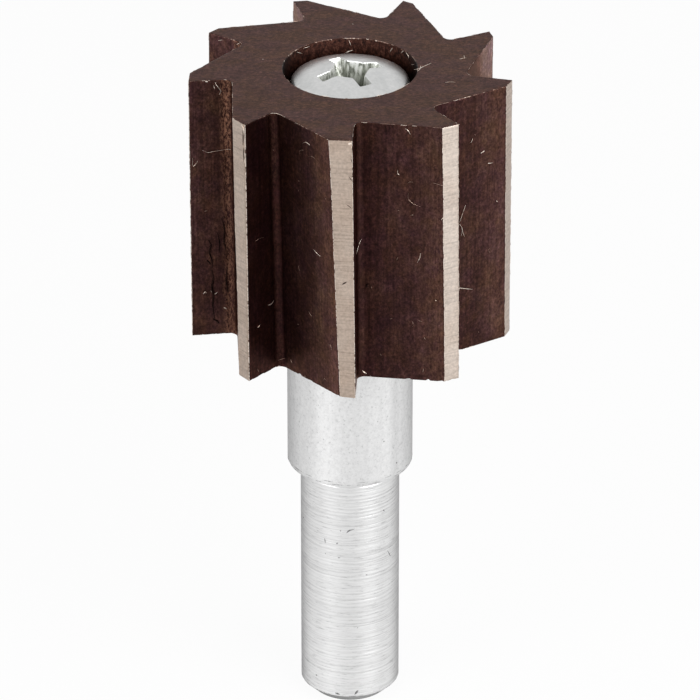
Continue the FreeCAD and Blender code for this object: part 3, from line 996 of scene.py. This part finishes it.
def dark_mark_and_painted_shadow():
    """Soot-dark scratches and stains, and a painted shadow strip beside a land burr."""
    made, tree, _ = material("dark_mark_and_painted_shadow", 0.95, 0.6)
    tone = speckle(tree, 2)
    colour = ramp(tree, tone, (0.35, (0.006, 0.0025, 0.002)), (0.65, (0.034, 0.015, 0.012)))
    return painted(made, colour, tone, 0.01, 0.5)


def grey_nick():
    """Dirt in the nicks of the aluminium."""
    made, tree, _ = material("grey_nick", 0, 0.6)
    return painted(made, ramp(tree, speckle(tree, 3), (0.35, 0.1), (0.65, 0.36)))


def turned_metal(name, roughness, stretch):
    """Metal whose marks run round the axis and spread a highlight along it."""
    made, tree, shader = material(name, 1, roughness)
    tangent = put(tree, "Tangent", direction_type="RADIAL", axis="Z").outputs["Tangent"]
    tree.links.new(tangent, shader.inputs["Tangent"])
    shader.inputs["Anisotropic"].default_value = stretch
    shader.inputs["Anisotropic Rotation"].default_value = 0.25
    shader.inputs["Specular Tint"].default_value = (0.5, 0.5, 0.5, 1)
    return made, tree


def painted_light_bands(tree):
    """A layer with the arbor's soft upright bands of painted highlight and shade."""
    return carried(tree, "tone", 0.5), (0.4, 0.8), (0.6, 1.2)


def turned_aluminium():
    """Fine turning rings, lighter and darker by turns, with upright bands of painted highlight and shade."""
    made, tree = turned_metal("turned_aluminium", 0.29, 0.6)
    rings = speckle(tree, (0.05, 0.05, 5.5), 2, 0.8)
    inputs = {"Vector": stretched(tree, (0.03, 0.03, 1)), "Scale": 1, "Distortion": 3, "Detail": 3}
    turns = put(tree, "TexWave", inputs, bands_direction="Z").outputs["Fac"]
    colour = layered(
        tree, (speckle(tree, (0.05, 0.05, 0.8), 2), (0.35, 0.88), (0.65, 0.93)),
        painted_light_bands(tree),
        (rings, (0.3, 0.82), (0.45, 0.98), (0.7, 1.05)),
        (turns, (0, 0.97), (1, 1.02)),
        (speckle(tree, (0.8, 0.8, 9), 3, 0.8), (0.33, 0.7), (0.43, 0.98), (0.6, 1.03)))
    return painted(made, colour, maths(tree, "MULTIPLY_ADD", turns, 0.25, rings), 0.036, 0.9)


def matte_aluminium():
    """The collar: fine matte grain with soft upright bands of painted highlight and shade, and mottling."""
    made, tree = turned_metal("matte_aluminium", 0.42, 0.4)
    mottle = speckle(tree, (2.8, 2.8, 1.8), 4, 0.75)
    colour = layered(
        tree, (speckle(tree, (0.75, 0.75, 0.04), 3, 0.5), (0.38, 0.84), (0.62, 0.88)),
        painted_light_bands(tree),
        (mottle, (0.32, 0.91), (0.5, 1), (0.7, 1.04)),
        (speckle(tree, 4.5, 2, 0.8), (0.27, 0.7), (0.37, 0.97), (0.65, 1.06)))
    return painted(made, colour, mottle, 0.006, 0.6)


def chamfer_aluminium_painted_shade():
    """The shank's chamfer: a coarser cut, in a darker grey that is painted shade where it mirrors the
    shadowed floor under the part.
    """
    made, tree = turned_metal("chamfer_aluminium_painted_shade", 0.45, 0.4)
    rings = speckle(tree, (0.4, 0.4, 6), 4, 0.7)
    return painted(made, ramp(tree, rings, (0.35, 0.38), (0.6, 0.54)), rings, 0.01, 0.6)


def bright_zinc():
    """Zinc plate on the screw's head: pale, faintly mottled."""
    made, tree, _ = material("bright_zinc", 1, 0.35)
    mottle = speckle(tree, 0.9, 4, 0.65)
    colour = layered(
        tree, (mottle, (0.3, (0.69, 0.7, 0.695)), (0.7, (0.84, 0.84, 0.835))),
        (speckle(tree, 4), (0.3, 0.94), (0.65, 1.03)))
    return painted(made, colour, mottle, 0.02, 0.5)


def recess_zinc():
    """The recess's walls: thinner, greyer plate, with painted shade that darkens them towards the bottom."""
    made, tree, _ = material("recess_zinc", 0.6, 0.4)
    streaks = speckle(tree, (3.5, 3.5, 0.6), 4, 0.7)
    # Painted shade: darker deeper in the recess
    place = put(tree, "SeparateXYZ", {"Vector": stretched(tree, 1)}).outputs["Z"]
    inputs = {"Value": place, "From Min": HEAD_TOP - 2.2, "From Max": HEAD_TOP - 0.3}
    height = put(tree, "MapRange", inputs).outputs["Result"]
    colour = layered(
        tree, (streaks, (0.4, (0.22, 0.23, 0.2)), (0.48, (0.7, 0.72, 0.67)), (0.58, (0.95, 0.95, 0.94))),
        (height, (0, (0.34, 0.35, 0.32)), (0.5, (0.74, 0.75, 0.71)), (1, 1)))
    return painted(made, colour, streaks, 0.02, 0.6)


# Floor, light and camera

AIM_HEIGHT = 31.135
CAMERA_ELEVATION = 28.96
CAMERA_DISTANCE = 515.27
CAMERA_LENS = 330.3
FLOOR_REACH = 2000.0
WHITE = (1.0, 1.0, 1.0, 1.0)


def white_share(tree, to_camera, to_mirrors):
    """One share for rays from the camera, and another for rays that metal or glass has turned."""
    rays = put(tree, "LightPath").outputs
    mirrored = maths(tree, "MAXIMUM", rays["Is Glossy Ray"], rays["Is Transmission Ray"])
    return maths(tree, "MAXIMUM", maths(tree, "MULTIPLY", rays["Is Camera Ray"], to_camera),
                 maths(tree, "MULTIPLY", mirrored, to_mirrors))


def make_floor():
    """A pale floor, white to the camera and in reflections, that keeps a soft shadow."""
    corners = [(x * FLOOR_REACH, y * FLOOR_REACH, 0) for x, y in ((-1, -1), (1, -1), (1, 1), (-1, 1))]
    floor = new_object("floor", corners, [(0, 1, 2, 3)])
    made, tree, shader = material("floor_paint", 0.0, 0.9)
    shader.inputs["Base Color"].default_value = (0.86, 0.86, 0.86, 1)
    glow = put(tree, "Emission", {"Color": WHITE, "Strength": 1.0})
    share = white_share(tree, to_camera=0.94, to_mirrors=0.15)
    mix = put(tree, "MixShader", {0: share, 1: shader.outputs[0], 2: glow.outputs[0]})
    tree.links.new(mix.outputs[0], tree.nodes["Material Output"].inputs["Surface"])
    floor.data.materials.append(made)


def make_world():
    """Soft light from all round, white to the camera."""
    world = bpy.data.worlds.new("studio")
    bpy.context.scene.world = world
    world.use_nodes = True
    tree = world.node_tree
    background = tree.nodes["Background"]
    background.inputs["Color"].default_value = WHITE
    share = white_share(tree, to_camera=1.0, to_mirrors=0.6)
    inputs = {"Value": share, "To Min": 0.4, "To Max": 1.0}
    strength = put(tree, "MapRange", inputs).outputs["Result"]
    tree.links.new(strength, background.inputs["Strength"])


def aimed(name, data, azimuth, elevation, distance):
    """An object that looks at the part's middle from a place round it, in degrees and millimetres."""
    flat = polar(radians(azimuth)) * cos(radians(elevation))
    way = Vector((*flat, sin(radians(elevation))))
    made = bpy.data.objects.new(name, data)
    made.location = Vector((0, 0, AIM_HEIGHT * MM)) + way * distance * MM
    made.rotation_euler = way.to_track_quat("Z", "Y").to_euler()
    bpy.context.scene.collection.objects.link(made)
    return made


def add_lamp(name, azimuth, elevation, distance, size, power):
    """A square soft lamp."""
    lamp = bpy.data.lights.new(name, "AREA")
    lamp.shape = "SQUARE"
    lamp.size = size * MM
    lamp.energy = power
    aimed(name, lamp, azimuth, elevation, distance)


def make_camera():
    camera = bpy.data.cameras.new("camera")
    camera.lens = CAMERA_LENS
    camera.sensor_width = 36.0
    camera.clip_start = 0.01
    bpy.context.scene.camera = aimed("camera", camera, -90, CAMERA_ELEVATION, CAMERA_DISTANCE)


def main():
    bpy.context.scene.view_settings.view_transform = "Standard"
    make_camera()
    make_floor()
    make_world()
    add_lamp("key", azimuth=-44, elevation=30, distance=340, size=240, power=0.85)
    add_lamp("fill", azimuth=-138, elevation=30, distance=600, size=350, power=1.3)
    bright = broken_metal("bright_chip", (0.35, (0.66, 0.47, 0.36)), (0.6, (0.98, 0.88, 0.78)))
    dull = broken_metal("dull_chip", (0.38, (0.2, 0.11, 0.085)), (0.62, (0.5, 0.36, 0.29)))
    worn_edge = broken_metal("worn_edge", (0.4, (0.1, 0.06, 0.045)), (0.5, (0.8, 0.7, 0.62)))
    # The worn rim also takes the cutter's painted light and shade
    worn_rim = broken_metal("worn_rim", (0.51, (0.05, 0.022, 0.017)), (0.585, (0.3, 0.18, 0.14)),
                            (0.67, (0.95, 0.8, 0.69)), with_painted_light=True)
    make_cutter([oxide_sides(), ground_land(), worn_edge, oxide_top(), oxide_bore(), worn_rim])
    make_burrs([bright, dull])
    make_swarf([bright, dull, dark_mark_and_painted_shadow()])
    make_arbor([turned_aluminium(), matte_aluminium(), chamfer_aluminium_painted_shade()])
    make_nicks([grey_nick()])
    make_screw([bright_zinc(), recess_zinc()])


main()
